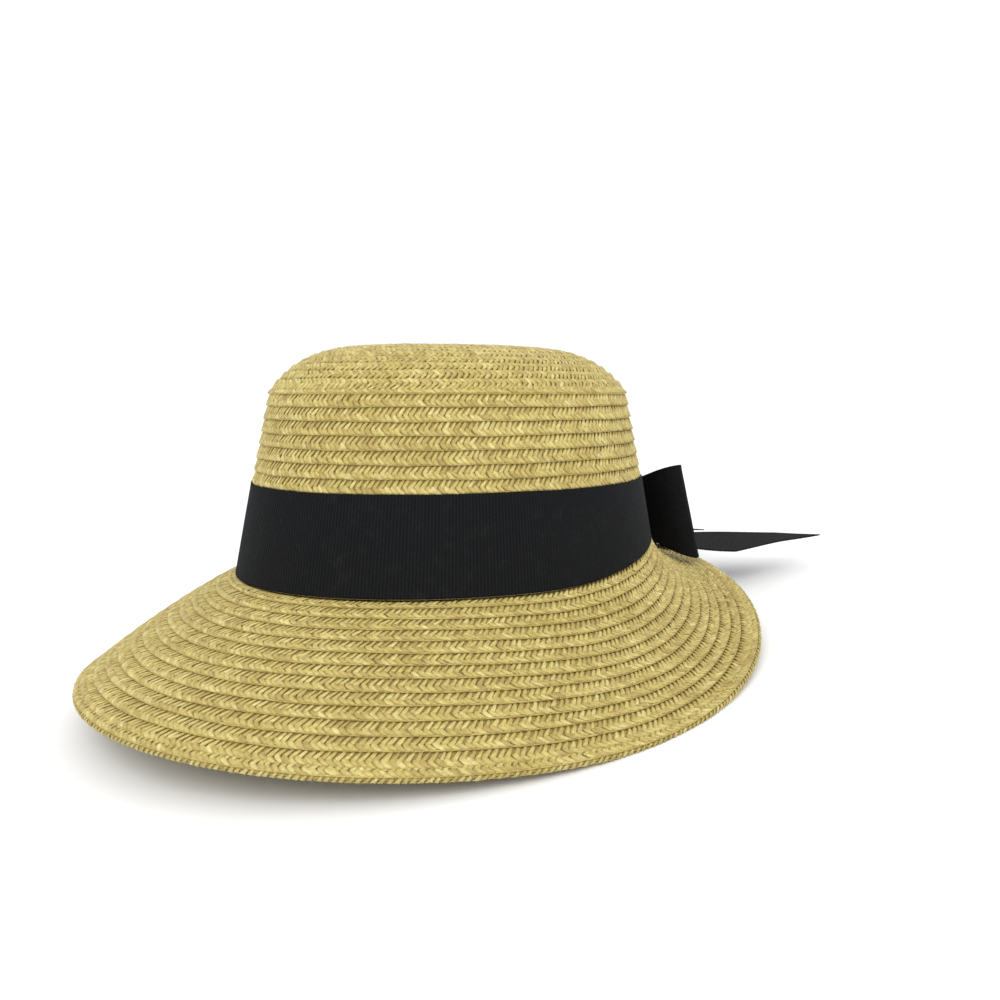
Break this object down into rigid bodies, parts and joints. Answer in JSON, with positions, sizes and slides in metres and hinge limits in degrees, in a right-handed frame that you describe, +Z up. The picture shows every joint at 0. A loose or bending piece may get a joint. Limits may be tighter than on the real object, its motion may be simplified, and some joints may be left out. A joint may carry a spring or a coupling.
{
  "type": "straw sun hat",
  "caption": "Braided straw sun hat with a drooping bell brim, a ribbon band and a flat ribbon bow with loose tails at the back.",
  "frame": {"origin": "on the surface the brim stands on, under the middle of the hat's box, tails included", "axes": "+Z up, front of the brim towards -Y, bow towards +Y, the wearer's left towards +X"},
  "size_m": [0.3022, 0.393, 0.1422],
  "materials": {
    "straw_braid": "plaited paper straw, dry satin",
    "grosgrain": "ribbed black grosgrain ribbon",
    "sweat_ribbon": "matt black cotton ribbon",
    "label_tape": "plain woven label tape",
    "hat_wire": "plain drawn wire"
  },
  "bodies": {
    "hat": {"crown_tip": "straw_braid", "tip_button": "straw_braid", "crown_side": "straw_braid", "brim": "straw_braid", "brim_edge": "straw_braid", "edge_wire": "hat_wire", "sweatband": "sweat_ribbon", "size_label": "label_tape", "care_label": "label_tape", "band_ribbon": "grosgrain", "band_lap": "grosgrain", "bow_core": "grosgrain", "bow_wrap": "grosgrain", "bow_loop_left": "grosgrain", "bow_loop_right": "grosgrain"},
    "tail_left": {"tail_left": "grosgrain"},
    "tail_right": {"tail_right": "grosgrain"}
  },
  "joints": [
    {"name": "tail_left_lift", "type": "hinge", "parent": "hat", "child": "tail_left", "pos_m": [0.0097, 0.08998, 0.02624], "axis": [0.6314, -0.7704, 0.0891], "range_deg": [0, 50]},
    {"name": "tail_right_lift", "type": "hinge", "parent": "hat", "child": "tail_right", "pos_m": [-0.0057, 0.08937, 0.02792], "axis": [0.9686, 0.2471, -0.0286], "range_deg": [0, 50]}
  ]
}
